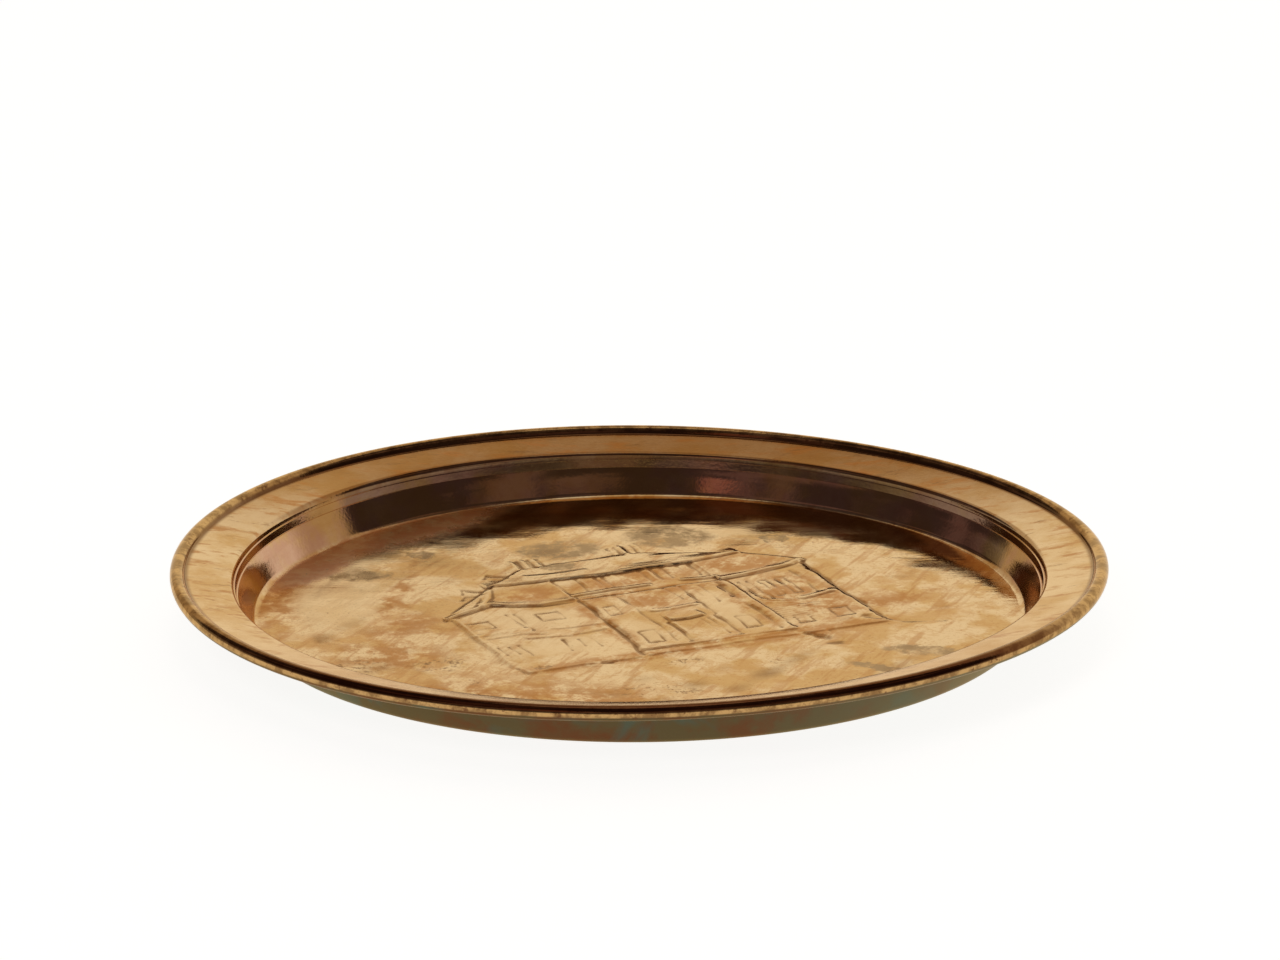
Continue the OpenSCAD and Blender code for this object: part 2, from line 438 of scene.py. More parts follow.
# %% Mouldings and eaves, from left to right
EAVES = [
    ([(-38.5, 64.8), (-30, 64.2), (-15, 62.9), (0, 62.1), (14, 62), (25, 63.4), (36.5, 64.9)], 0.5, 0.8, 7),
    ([(-26, 68.5), (-18, 66.5), (-8, 67)], 0.22, 0.8, 3),
    ([(12, 71), (26, 69.2)], 0.2, 0.8, 2),
    ([(-58.5, 44), (-50, 47.5), (-43, 50.6), (-38, 47.8), (-30, 45.8), (-20, 45.3)], 0.5, 1.1, 5),
    ([(-20, 49.4), (-8, 49.8), (3.5, 49.4)], 0.45, 0.9, 1.8),
    ([(12, 49.2), (18, 48.4), (22.5, 48.7)], 0.42, 0.9, 1.8),
    ([(-20, 45.4), (-12, 46), (-5, 45.4)], 0.32, 0.8, 1.6),
    ([(9, 44.8), (15, 45.2), (21.5, 45)], 0.32, 0.8, 1.6),
    ([(22, 46), (35, 47), (42, 48.7), (46, 50.2), (50.5, 53)], 0.45, 0.8, 4),
    ([(-6, 27.6), (0, 27), (5, 27.7), (8.6, 27.3)], 0.3, 0.7, 3),
    ([(-5, 18.6), (0, 18.2), (5.2, 19)], 0.62, 1.0, 7),
    ([(35, 21.4), (41, 22.4), (47, 24.2)], 0.4, 0.8, 3),
    ([(32, 16), (38.5, 16.2)], 0.24, 0.7, 2),
    ([(-45, 20.8), (-34, 19.5), (-22, 20.7)], 0.24, 0.8, 2.5),
    ([(-55, 25), (-44, 24.6), (-38, 22.4)], 0.22, 0.8, 2),
    ([(-36, 26), (-22, 24.8)], 0.2, 0.7, 2),
    ([(-57, 27.8), (-44, 28.4)], 0.16, 0.8, 2),
    ([(25, 25.2), (33, 21.4)], 0.22, 0.7, 1.5),
    ([(25, 22.6), (32, 20)], 0.16, 0.7, 1.5),
    ([(-22, 0), (-4, -1.5), (12, -2.6), (32, 0.5), (48, 3)], 0.2, 1.4, 3),
    ([(-56, -5), (-30, -6), (10, -7.5), (30, -6)], 0.16, 2.0, 5),
]

print("eaves and mouldings:", len(EAVES))

# %% [markdown]
# ### Drawn lines
# Corners, door posts, hips, chimneys and windows are single strokes of a blunt tool. A minus
# sign makes a groove, and a plus sign the ridge that a groove throws up beside it.

# %% Upright lines, hips and small drawn marks
UPRIGHTS = [
    ([(-19.8, 44.5), (-20.2, 24), (-21.2, 8), (-22.2, -4)], -0.34, 0.55),
    ([(-17.6, 43), (-18.6, 4)], 0.16, 0.8),
    ([(49.6, 52), (48.5, 38), (48.3, 16), (48.9, -1)], -0.36, 0.55),
    ([(46.5, 47), (45.4, 24)], 0.14, 0.7),
    ([(20, 44), (19.6, 26), (20.2, 2)], -0.2, 0.6),
    ([(22.2, 44), (22, 22), (22.6, 1)], 0.2, 1.2),
    ([(-9.6, 46), (-9, 28), (-9.4, 3)], -0.2, 0.5),
    ([(-6, 45), (-6.2, 28)], 0.14, 0.6),
    ([(9, 44), (8.8, 32), (9, 22), (8.4, 18.5)], -0.28, 0.5),
    ([(4.6, 44.5), (5.6, 34)], -0.14, 0.45),
    ([(7.5, 17.5), (8.2, 9), (8.6, 0.5)], -0.26, 0.5),
    ([(-6.4, 17), (-5.8, 9), (-6.2, 1)], -0.28, 0.45),
    ([(-4.8, 16), (-4.4, 2)], 0.16, 0.5),
    ([(3, 16), (3.8, 7)], -0.16, 0.45),
    ([(5, 16), (6, 3)], -0.18, 0.45),
    ([(-1.2, 16), (-1.4, 3)], 0.1, 0.5),
    ([(11.4, 43), (11.6, 34)], -0.12, 0.5),
    ([(14.4, 43), (14.2, 28)], -0.16, 0.5),
    ([(19, 41), (19, 31)], -0.2, 0.5),
    ([(25.6, 42), (25.8, 30), (27, 25)], -0.24, 0.5),
    ([(28, 42), (28, 31), (29, 26)], -0.24, 0.5),
    ([(42.6, 45), (42.2, 26)], -0.16, 0.5),
    ([(44.6, 47), (44, 30)], 0.12, 0.5),
    ([(-42.6, 41.5), (-41.4, 30)], -0.26, 0.5),
    ([(-40.6, 41), (-40.2, 27)], -0.26, 0.5),
    ([(-56.2, 43), (-57, 3)], 0.2, 0.9),
    ([(-25.4, 43), (-23.4, 26)], 0.1, 0.6),
    ([(-37, 16.6), (-37.6, 8)], -0.24, 0.5),
    ([(-33, 15.6), (-33, 10)], -0.14, 0.45),
    ([(-29.5, 15.5), (-29, 8)], -0.12, 0.45),
    ([(-55.4, 17), (-55, 11)], -0.2, 0.45),
    ([(-52.4, 16.4), (-51.6, 10.5)], -0.2, 0.45),
    ([(-49.6, 16.6), (-48.6, 8)], -0.16, 0.5),
]
HIPS = [
    ([(-59, 44), (-52, 46.8), (-45, 50), (-40.5, 56), (-38, 64)], -0.34, 0.6),
    ([(-57, 46.8), (-50, 49.4), (-46.5, 51.2)], -0.3, 0.5),
    ([(-45, 50), (-41.5, 57.5), (-39, 63)], 0.22, 0.8),
    ([(-38, 64.5), (-32, 70), (-24, 76.6)], -0.24, 0.5),
    ([(-36.4, 65), (-30.5, 70.5), (-22.4, 76.8)], 0.18, 0.6),
    ([(-24, 77), (-16, 76.6), (-4, 76.8), (7, 76)], -0.14, 0.6),
    ([(36.5, 65), (44, 60), (50.5, 53)], -0.1, 0.6),
    ([(8, 77), (20, 72.5), (30, 69), (36, 65.4)], -0.12, 0.6),
    ([(-35.2, 74), (-34, 76), (-32.6, 74.6), (-30, 73.4), (-27.8, 73.4)], -0.3, 0.5),
    ([(-33.4, 71.6), (-30.6, 71.4)], -0.26, 0.8),
    ([(-46.4, 63), (-45.4, 66), (-43.6, 64.6), (-41.6, 63)], -0.22, 0.5),
    ([(-48.4, 58.6), (-46.6, 60.6), (-43.4, 59.8), (-41, 60.2)], -0.26, 0.5),
    ([(-43.4, 58.2), (-44.6, 54.6), (-47.2, 51.4)], -0.14, 0.5),
]
CHIMNEYS = [
    ([(u, 76.5), (u + 0.3, 84)], rise, 0.55)
    for u, rise in ((-24.2, 0.2), (-22.6, -0.22), (-21, 0.22), (-19, -0.24), (-17.6, 0.2), (-16.4, -0.28),
                    (4.6, -0.18), (6.4, -0.2), (8, 0.2), (9.4, -0.2), (11.4, -0.26), (12.6, 0.16))
]
ATTIC = [
    ([(u, 52), (u - 0.3, 61)], rise, 0.45)
    for u, rise in ((-14, -0.18), (-12.6, 0.12), (-8.4, -0.14), (-6.4, -0.16), (-3.4, 0.14), (4.6, -0.14),
                    (6.8, 0.12), (8, -0.16), (11.2, -0.18), (13, 0.12), (16, -0.12), (19.4, -0.2))
]
PANES = [
    (-55.6, 33, 6.4, 5.6), (-35.4, 33, 6.4, 6.6), (-17.4, 29, 3.6, 7), (31, 27, 2.2, 14), (36, 27, 2.4, 14),
    (-16.6, 4, 4.4, 9), (12, 5, 4.4, 9), (27, 4, 4, 5.4), (38, 4, 5, 7),
]

# %% Marks on the ground
GROUND = [
    ([(23.4, -4.6), (25.4, -7.6), (28, -10.6)], -0.34, 0.8),
    ([(27, -14.6), (29.4, -15.4)], -0.26, 0.9),
    ([(44, 1.6), (48, -2.4), (52, -6.4), (57, -9), (62, -11)], -0.16, 0.8),
    ([(56, 0), (60, 2.6), (64, 0), (68, -0.6)], -0.14, 0.9),
    ([(-34.6, -5), (-32.6, -6)], -0.2, 0.8),
    ([(-51, -2), (-52, -4)], -0.16, 0.8),
]
print("strokes:", len(UPRIGHTS + HIPS + CHIMNEYS + ATTIC + GROUND), "and windows:", len(PANES))

# %% [markdown]
# ### One height for every place
# All marks add up to one height over the floor. Before that the place is moved by a slow
# wave of a quarter of a millimetre, because no hand draws a ruled line, and the depth of the
# strokes swells and fades, because no hand strikes evenly.

# %% Height of the floor
STROKE_WIDTH = 1.45
STROKE_DEPTH = 0.75
LEDGE_DEPTH = 0.66


def by_hand(u, v):
    """The small wander of a hand-held tool, so that no edge is ruled."""
    across = 0.26 * np.sin(0.27 * v + 0.9) + 0.07 * np.sin(0.8 * v + 0.2 * u)
    along = 0.26 * np.sin(0.23 * u + 2.1) + 0.07 * np.sin(0.7 * u - 0.3 * v)
    return u + across, v + along


def pressure(u, v):
    """How hard the tool was driven, which changes along each stroke."""
    return 1 + 0.25 * np.sin(0.45 * u + 0.3 * v) + 0.25 * np.sin(0.27 * u - 0.6 * v + 2)


def relief_height(x, y):
    u, v = by_hand(*to_building(x, y))
    height = np.zeros(u.shape)
    for points, rise, soft in WALLS + ROOFS:
        height += panel(u, v, points, rise, soft)
    for points, rise, face, tail in EAVES:
        height += ledge(u, v, points, LEDGE_DEPTH * rise, face, tail)
    strokes = np.zeros(u.shape)
    for points, rise, width in UPRIGHTS + HIPS + CHIMNEYS + ATTIC + GROUND:
        strokes += line(u, v, points, rise, width * STROKE_WIDTH)
    for left, low, width, tall in PANES:
        right, high = left + width, low + tall
        corners = [(left, low), (right, low), (right, high), (left, high), (left, low)]
        strokes += line(u, v, corners, -0.2, 0.6)
    height += STROKE_DEPTH * pressure(u, v) * strokes
    boards = (u > 24) & (u < 33)
    height += boards * smooth((20 - v) / 2) * smooth((v - 6) / 2) * 0.05 * np.sin(v * 2 * math.pi / 1.5)
    return height


# %% [markdown]
# ### An old, thin, bent sheet
# Nothing on such a dish is quite flat any more. Slow waves in the floor make its reflections
# wander, and the rim is twisted: high at two opposite corners and low at the other two.

# %% Waves and twist
# Height and length in millimetres, heading and phase in radians
WAVES = (
    (0.10, 61, 0.3, 0.5), (0.07, 38, 1.9, 2.1), (0.05, 27, -0.7, 4.0),
    (0.03, 15, 1.2, 1.0), (0.03, 13, 2.6, 0.2),
)


def hand_waves(x, y):
    """The slow waves that a hammer and many years leave in a thin floor."""
    total = np.zeros(x.shape)
    for height, length, heading, phase in WAVES:
        along = x * math.cos(heading) + y * math.sin(heading)
        total += height * np.sin(2 * math.pi * along / length + phase)
    return total


def rim_sag(x, y):
    """How far the rim is bent down at each place: the old sheet is twisted and leans a little."""
    turn = np.arctan2(y, x)
    out = smooth((np.hypot(x, y) - 103) / 7)
    return out * (1.32 + 0.65 * np.sin(turn) + 0.8 * np.sin(2 * turn))


# %% [markdown]
# ## From marks to a mesh
# A fine square grid turned with the building keeps its long edges crisp, because they run
# along the grid. Rings grown from the grid's edge turn its square outline into a circle,
# and triangle_fill closes the narrow ring between that circle and the spun wall.

# %% Floor patch
def floor_patch(bm, spacing, rings, level):
    """A turned square grid whose outline grows into a circle of radius join_r."""
    left, right, low, high = -60.0, 66.0, -13.0, 87.0
    grid = bmesh.ops.create_grid(
        bm,
        x_segments=round((right - left) / spacing),
        y_segments=round((high - low) / spacing),
        size=0.5,
    )
    made = list(grid["verts"])
    bmesh.ops.scale(bm, vec=(right - left, high - low, 1), verts=made)
    bmesh.ops.translate(bm, vec=((left + right) / 2, (low + high) / 2, 0), verts=made)
    turn = Quaternion((0, 0, 1), building_turn).to_matrix()
    bmesh.ops.rotate(bm, cent=(0, 0, 0), matrix=turn, verts=made)
    bmesh.ops.translate(bm, vec=(*building_foot, level), verts=made)
    edge = [e for e in bm.edges if e.is_boundary and e.verts[0] in set(made)]
    for ring in range(rings):
        grown = bmesh.ops.extrude_edge_only(bm, edges=edge)["geom"]
        edge = [g for g in grown if isinstance(g, bmesh.types.BMEdge)]
        for vert in (g for g in grown if isinstance(g, bmesh.types.BMVert)):
            made.append(vert)
            out = vert.co.xy.length
            share = 1 / (rings - ring)
            vert.co.xy *= 1 + (join_r / out - 1) * share
        edge = [e for e in edge if e.is_boundary]
    return made


def lift(verts, height_at):
    """Raises points of the floor by height_at(x, y), which dies away before the wall."""
    x, y = np.array([vert.co.xy for vert in verts]).T
    rise = height_at(x, y) * smooth((95 - np.hypot(x, y)) / 8)
    for vert, extra in zip(verts, rise):
        vert.co.z += extra


def back_hollows(x, y):
    """The underside follows the big masses of the relief, softly, and never sinks below the base."""
    u, v = to_building(x, y)
    height = sum(panel(u, v, points, rise, soft * 4) for points, rise, soft in WALLS + ROOFS)
    return 0.6 * height + 0.1 + 0.3 * hand_waves(x, y)


bm = bmesh.new()
under = bm.verts.layers.float.new("under")
hollow = bm.verts.layers.float.new("hollow")
shade_and_grime = bm.verts.layers.float.new("shade_and_grime")
face_side = floor_patch(bm, 0.5, 18, sheet)
lift(face_side, lambda x, y: relief_height(x, y) + hand_waves(x, y))
print("floor, upper side:", len(bm.faces), "faces")

# %% [markdown]
# The patina sits in the hollows of the chasing, where no cloth reaches. How much lower a
# point lies than the mean of its neighbourhood tells where that is. Spreading each height
# to its neighbours a few times gives that mean, and the difference is kept on the mesh as
# an attribute that the finish can read.

# %% Hollows of the chasing
bm.verts.index_update()
ends = np.array([[e.verts[0].index, e.verts[1].index] for e in bm.edges])
heights = np.array([vert.co.z for vert in bm.verts])
links = np.bincount(ends.ravel(), minlength=len(heights))
mean = heights.copy()
for turn in range(8):
    sums = np.bincount(ends[:, 0], mean[ends[:, 1]], len(heights))
    sums += np.bincount(ends[:, 1], mean[ends[:, 0]], len(heights))
    mean = 0.5 * mean + 0.5 * sums / links
for vert, depth in zip(bm.verts, mean - heights):
    vert[hollow] = depth * smooth((92 - vert.co.xy.length) / 4)
print("deepest hollow:", round(float((mean - heights).max()), 3), "mm")

# %% [markdown]
# ## Underside and the spun part
# The back of the floor only has soft hollows, so a coarser patch is enough. The section drawn
# above is spun round the axis, and two narrow fills join it to the upper and the lower patch.
# With that the sheet is one closed skin with its real thickness.

# %% Underside, wall, shoulder, flange and rolled edge
back_side = floor_patch(bm, 2.0, 6, 0)
lift(back_side, back_hollows)
for vert in back_side:
    vert[under] = 1.0

chain = []
for point, outside, shade_and_dirt in section:
    vert = bm.verts.new((point.x, 0, point.y))
    vert[under] = outside
    vert[shade_and_grime] = shade_and_dirt
    chain.append(vert)
steps = [bm.edges.new(pair) for pair in zip(chain, chain[1:])]
bmesh.ops.spin(
    bm,
    geom=chain + steps,
    cent=(0, 0, 0),
    axis=(0, 0, 1),
    angle=math.tau,
    steps=spin_steps,
    use_merge=True,
)
open_edges = [e for e in bm.edges if e.is_boundary]
for facing in (1, -1):
    loops = [e for e in open_edges if (e.verts[0].co.z - sheet / 2) * facing > 0]
    bmesh.ops.triangle_fill(bm, use_beauty=True, edges=loops, normal=(0, 0, facing))
bmesh.ops.remove_doubles(bm, verts=bm.verts, dist=0.0005)
bmesh.ops.recalc_face_normals(bm, faces=bm.faces)
print("open or doubled edges left:", sum(not e.is_manifold for e in bm.edges))
upper_floor = [f for f in bm.faces if min(v.co.z for v in f.verts) > 0.9 * sheet]
upper_floor = [f for f in upper_floor if max(v.co.xy.length for v in f.verts) < 100]
print("floor faces turned over:", sum(f.normal.z < 0 for f in upper_floor), "of", len(upper_floor))


def sag(verts):
    x, y = np.array([vert.co.xy for vert in verts]).T
    for vert, drop in zip(verts, rim_sag(x, y)):
        vert.co.z -= drop


def finished(bm, name):
    """Turns millimetres into metres and makes the object."""
    bmesh.ops.scale(bm, vec=(MM, MM, MM), verts=bm.verts)
    for face in bm.faces:
        face.smooth = True
    mesh = bpy.data.meshes.new(name)
    bm.to_mesh(mesh)
    bm.free()
    piece = bpy.data.objects.new(name, mesh)
    bpy.context.collection.objects.link(piece)
    print(name, "triangles:", sum(len(p.vertices) - 2 for p in mesh.polygons))
    return piece


sag(list(bm.verts))
dish = finished(bm, "dish_sheet")
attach(dish, "root")
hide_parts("dish")

# %% [markdown]
# ## The wire in the edge
# A plain ring of wire, cut to length and butted, stiffens the edge. The sheet is rolled round
# it, so it hardly shows. A circle spun a little less than a full turn leaves the butt joint
# open, and two fills close its ends.

# %% Edge wire
bm = bmesh.new()
ring = bmesh.ops.create_circle(bm, segments=20, radius=wire_r)
upright = Quaternion((1, 0, 0), math.radians(90)).to_matrix()
bmesh.ops.rotate(bm, cent=(0, 0, 0), matrix=upright, verts=ring["verts"])
bmesh.ops.translate(bm, vec=(bead_middle.x, 0, bead_middle.y), verts=ring["verts"])
half_joint = Quaternion((0, 0, 1), 0.3 / bead_middle.x).to_matrix()
bmesh.ops.rotate(bm, cent=(0, 0, 0), matrix=half_joint, verts=ring["verts"])
bmesh.ops.spin(
    bm,
    geom=list(bm.verts) + list(bm.edges),
    cent=(0, 0, 0),
    axis=(0, 0, 1),
    angle=math.tau - 0.6 / bead_middle.x,
    steps=spin_steps,
)
bmesh.ops.holes_fill(bm, edges=[e for e in bm.edges if e.is_boundary], sides=0)
bmesh.ops.recalc_face_normals(bm, faces=bm.faces)
print("open edges in the wire:", sum(not e.is_manifold for e in bm.edges))
sag(list(bm.verts))
wire = finished(bm, "edge_wire_ring")
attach(wire, "root")
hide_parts("edge_wire")

# %% [markdown]
# ## The finish of the sheet
# Old copper alloy is a mirror under a thin stain. The stain differs from place to place, so
# the colour is built in layers, in millimetres on the object itself: a pale gold base, orange
# clouds, grey-brown blotches and dark specks on the floor, dark patina in the hollows, and a
# green-brown skin on the outside. Some layers are painted shade: the back of the flange and the
# front of the bead are darkened to stand in for dark reflections, over stain and rust, and a
# line of painted shade darkens the crease. Roughness and bump follow the same layers. Every
# tone is a colour of metal, so it tints what the metal mirrors.

# %% Tones
PALE = (0.67, 0.49, 0.28)
GOLD = (0.52, 0.31, 0.12)
ORANGE = (0.35, 0.125, 0.025)
PINK = (0.50, 0.28, 0.19)
RUST_AND_SHADE = (0.13, 0.04, 0.016)
BROWN = (0.13, 0.05, 0.02)
GREY = (0.27, 0.17, 0.09)
OLIVE = (0.105, 0.075, 0.033)
TEAL = (0.075, 0.10, 0.07)


# %% Helpers for stains
def noise(tree, place, scale, detail=3.0, roughness=0.55, distortion=0.0):
    """Cloudy noise, scale in features per millimetre."""
    return add(
        tree,
        "TexNoise",
        Vector=place,
        Scale=scale,
        Detail=detail,
        Roughness=roughness,
        Distortion=distortion,
    ).outputs["Fac"]


def stretched(tree, place, across, along, heading=0.0):
    """The same place squeezed, so that noise on it makes long strokes along the heading."""
    return add(
        tree,
        "Mapping",
        {"vector_type": "TEXTURE"},
        Vector=place,
        Rotation=(0, 0, math.radians(heading)),
        Scale=(along, across, 1),
    ).outputs[0]


def spot(tree, place, x, y, wide, deep, heading=0.0, edge=0.35):
    """1 inside an ellipse of stain and 0 outside, by a place whose outline is already ragged."""
    local = add(
        tree,
        "Mapping",
        {"vector_type": "TEXTURE"},
        Vector=place,
        Location=(x, y, 0),
        Rotation=(0, 0, math.radians(heading)),
        Scale=(wide / 2, deep / 2, 1000),
    ).outputs[0]
    away = add(tree, "VectorMath", {"operation": "LENGTH"}, i0=local).outputs["Value"]
    return ramp(tree, away, 1 + edge, 1 - edge)


def spots(tree, place, places, edge=0.35):
    """1 inside any of the ellipses, each given by its middle, width, depth and heading."""
    total = None
    for values in places:
        one = spot(tree, place, *values, edge=edge)
        total = one if total is None else maths(tree, "MAXIMUM", total, one)
    return total


# %% [markdown]
# ### Where each part of the dish begins
# The distance from the axis tells floor, wall, flange and bead apart. Three places moved by
# noise, from a wide wander to a fine fray, give the stains outlines that never look drawn.

# %% Places
copper, tree, shader = new_material("aged_copper")
objects = add(tree, "TexCoord").outputs["Object"]
place = add(tree, "VectorMath", {"operation": "SCALE"}, i0=objects, i3=1000.0).outputs[0]
split = add(tree, "SeparateXYZ", i0=place)
flat = add(tree, "CombineXYZ", i0=split.outputs[0], i1=split.outputs[1])
radius = add(tree, "VectorMath", {"operation": "LENGTH"}, i0=flat.outputs[0]).outputs["Value"]
outer = add(tree, "Attribute", {"attribute_name": "under"}).outputs["Fac"]
depth = add(tree, "Attribute", {"attribute_name": "hollow"}).outputs["Fac"]
shade_and_grime = add(tree, "Attribute", {"attribute_name": "shade_and_grime"}).outputs["Fac"]


def ragged(reach, scale):
    """The place moved about by noise, for outlines that wander."""
    cloud = add(tree, "TexNoise", Vector=place, Scale=scale, Detail=4.0, Roughness=0.65).outputs["Color"]
    push = add(tree, "VectorMath", {"operation": "SUBTRACT"}, i0=cloud, i1=(0.5, 0.5, 0.5)).outputs[0]
    settings = {"operation": "MULTIPLY_ADD"}
    return add(tree, "VectorMath", settings, i0=push, i1=(reach,) * 3, i2=flat.outputs[0]).outputs[0]


wander = ragged(26, 0.055)
drift = ragged(8, 0.12)
fray = ragged(7, 0.3)
on_floor = ramp(tree, radius, 103.5, 101.5)
on_flange = times(tree, ramp(tree, radius, 107.8, 109), ramp(tree, radius, 121.2, 120.8))
on_bead = ramp(tree, radius, 120.9, 121.3)
on_step = times(tree, ramp(tree, radius, 102.6, 103.6), ramp(tree, radius, 109, 107.8))

print("nodes so far:", len(tree.nodes))

# %% [markdown]
# ### Ground tone of the floor
# Wide clouds of pale and full gold come first, then long strokes left by years of wiping,
# and fine grain.

# %% Base colour of the floor
clouds = noise(tree, place, 0.045, 5, 0.6)
fine = noise(tree, place, 0.9, 3, 0.7)
strokes = noise(tree, stretched(tree, place, 1, 7, 66), 0.35, 3, 0.6)
colour = blend_colour(tree, ramp(tree, clouds, 0.46, 0.58), PALE, GOLD)
colour = blend_colour(tree, ramp(tree, strokes, 0.50, 0.66, 0, 0.5), colour, ORANGE)
colour = blend_colour(tree, ramp(tree, fine, 0.54, 0.68, 0, 0.45), colour, ORANGE)
edges_of_stain = ramp(tree, noise(tree, place, 0.13, 6, 0.75, 0.6), 0.52, 0.56, 0, 0.35)
colour = blend_colour(tree, edges_of_stain, colour, (0.45, 0.22, 0.07))


# %% [markdown]
# ### Orange clouds, pale fields and dull patches
# Some parts of the building and the outer floor have turned orange, and the wall fields were
# rubbed pale. At the back left two patches take a dull orange tone and are less of a metal.

# %% Orange clouds and pale fields
def from_building(u, v):
    """The place on the dish of a point of the building."""
    x, y = Vector((u, v)) @ Quaternion((0, 0, -1), building_turn).to_matrix().to_2x2()
    return x + building_foot.x, y + building_foot.y


ORANGE_CLOUDS = [
    (-98, 14, 12, 66, 0), (-72, 66, 74, 20, 40), (-30, -74, 90, 34, -6), (-66, -34, 34, 22, -30),
    (30, -84, 70, 22, 6), (-65, 16, 50, 6, 84), (-62, -12, 26, 14, 40), (66, 8, 30, 10, 24),
    (-10, 84, 90, 14, 0),
]
ORANGE_PARTS = [
    (*from_building(-30, 55), 20, 11, 23.5), (*from_building(33, 56), 24, 14, 20),
    (*from_building(36, 24), 24, 44, 23.5), (*from_building(0, 44), 46, 7, 23.5),
    (*from_building(0, 56), 38, 11, 23.5), (*from_building(-4, -4), 110, 8, 23.5),
    (*from_building(-21, 25), 7, 46, 23.5), (*from_building(20, 25), 7, 44, 23.5),
    (*from_building(-3, 36), 12, 16, 23.5),
]
PALE_PARTS = [
    (*from_building(-36, 36), 26, 14, 23.5), (*from_building(-40, 12), 26, 12, 23.5),
    (*from_building(-15, 14), 9, 22, 23.5), (*from_building(13, 20), 9, 32, 23.5),
    (*from_building(30, 12), 14, 14, 23.5), (-82, 14, 26, 56, 0), (20, 70, 70, 10, 10),
]
print("middle of the left roof:", [round(x, 1) for x in from_building(-30, 55)])
mottle = ramp(tree, noise(tree, place, 0.16, 6, 0.7), 0.38, 0.56)
outer_clouds = spots(tree, wander, ORANGE_CLOUDS, 0.6)
cloud_share = maths(tree, "MAXIMUM", outer_clouds, spots(tree, drift, ORANGE_PARTS, 0.4))
cloud_share = times(tree, times(tree, cloud_share, on_floor), mottle)
pale_share = times(tree, spots(tree, drift, PALE_PARTS, 0.4), 0.7)
colour = blend_colour(tree, pale_share, colour, PALE)
colour = blend_colour(tree, times(tree, cloud_share, 0.85), colour, ORANGE)

# %% Dull patches at the back left
# Two patches at the back left take a dull orange tone and are less of a metal.
DULL_BACK_PATCHES = [(-64, 74, 66, 22, 44), (-88, 42, 44, 14, 62)]
dull_patch = times(tree, spots(tree, fray, DULL_BACK_PATCHES, 0.4), on_floor)
dull_patch_tone = blend_colour(tree, mottle, (0.66, 0.33, 0.12), (0.60, 0.22, 0.065))
colour = blend_colour(tree, times(tree, dull_patch, 0.9), colour, dull_patch_tone)

# %% [markdown]
# ### Blotches, specks and pepper
# Drops and fingers left grey-brown blotches behind the roof and at the right. Small dark
# specks sit in the front, freckles lie everywhere, and fine pepper covers the left.

# %% Grey blotches and dark specks
BLOTCHES = [
    (-76, 32, 17, 9, 0), (-22, 54, 24, 14, 10), (8, 65, 24, 18, 0), (-22, 38, 10, 7, 0), (37, 63, 8, 6, 0),
    (50, 66, 7, 5, 0), (74, -34, 20, 7, -12), (84, -38, 18, 6, -20), (66, -50, 26, 5, -32),
    (-60, 50, 8, 6, 0),
]
blotch_share = ramp(tree, noise(tree, place, 0.24, 5, 0.7), 0.36, 0.56, 0.3, 0.95)
blotch_share = times(tree, spots(tree, fray, BLOTCHES, 0.2), blotch_share)
colour = blend_colour(tree, blotch_share, colour, GREY)

# %% Specks, freckles and pepper
SPECKS = [
    (-75, -45, 16, 12, 20), (-52, -43, 14, 10, 0), (-25, -47, 6, 4, 0), (-8, -42, 5, 4, 0),
    (36, -42, 5, 4, 0),
    (-42, -58, 8, 5, 0), (5, -65, 20, 10, 0), (12, -42, 10, 4, 20), (-76, 31, 12, 6, 0),
]
speck_share = ramp(tree, noise(tree, place, 0.45, 4, 0.75), 0.5, 0.62, 0, 0.85)
speck_share = times(tree, spots(tree, fray, SPECKS, 0.5), speck_share)
colour = blend_colour(tree, speck_share, colour, BROWN)
freckles = ramp(tree, noise(tree, place, 0.55, 4, 0.8), 0.64, 0.74, 0, 0.6)
colour = blend_colour(tree, freckles, colour, BROWN)
left_floor = times(tree, ramp(tree, split.outputs[0], -30, -60), on_floor)
peppering = ramp(tree, noise(tree, place, 1.3, 2, 0.7), 0.62, 0.72, 0, 0.7)
colour = blend_colour(tree, times(tree, left_floor, peppering), colour, (0.22, 0.12, 0.05))

# %% [markdown]
# ### Patina in the hollows
# The attribute made with the mesh says how deep each point lies below its surroundings. The
# dark tone goes into the hollows, and the ridges beside them are rubbed a little paler.

# %% Patina in the hollows of the chasing
in_hollow = ramp(tree, depth, 0.006, 0.09)
colour = blend_colour(tree, times(tree, in_hollow, 0.85), colour, (0.19, 0.08, 0.028))
worn_edge = ramp(tree, depth, -0.02, -0.08)
colour = blend_colour(tree, times(tree, worn_edge, 0.5), colour, PALE)

# %% [markdown]
# ### Wall, flange and bead
# The wall is pinker. The flange is browner at the back, as stain with painted shade over it
# that stands in for a dark reflection, and it has drips and streaks. The bead is mottled, its
# upper half at the front is darker, as rust with painted shade, and a painted shade line
# darkens the crease.

# %% Wall and flange
wall_tone = blend_colour(tree, ramp(tree, noise(tree, place, 0.06, 4, 0.6), 0.4, 0.62), PINK, GOLD)
colour = blend_colour(tree, times(tree, on_step, 0.8), colour, wall_tone)
far_side = ramp(tree, split.outputs[1], 10, 95)
near_side = ramp(tree, split.outputs[1], -30, -100)
flange_tone = blend_colour(tree, ramp(tree, noise(tree, place, 0.05, 5, 0.62), 0.38, 0.62), PALE, GOLD)
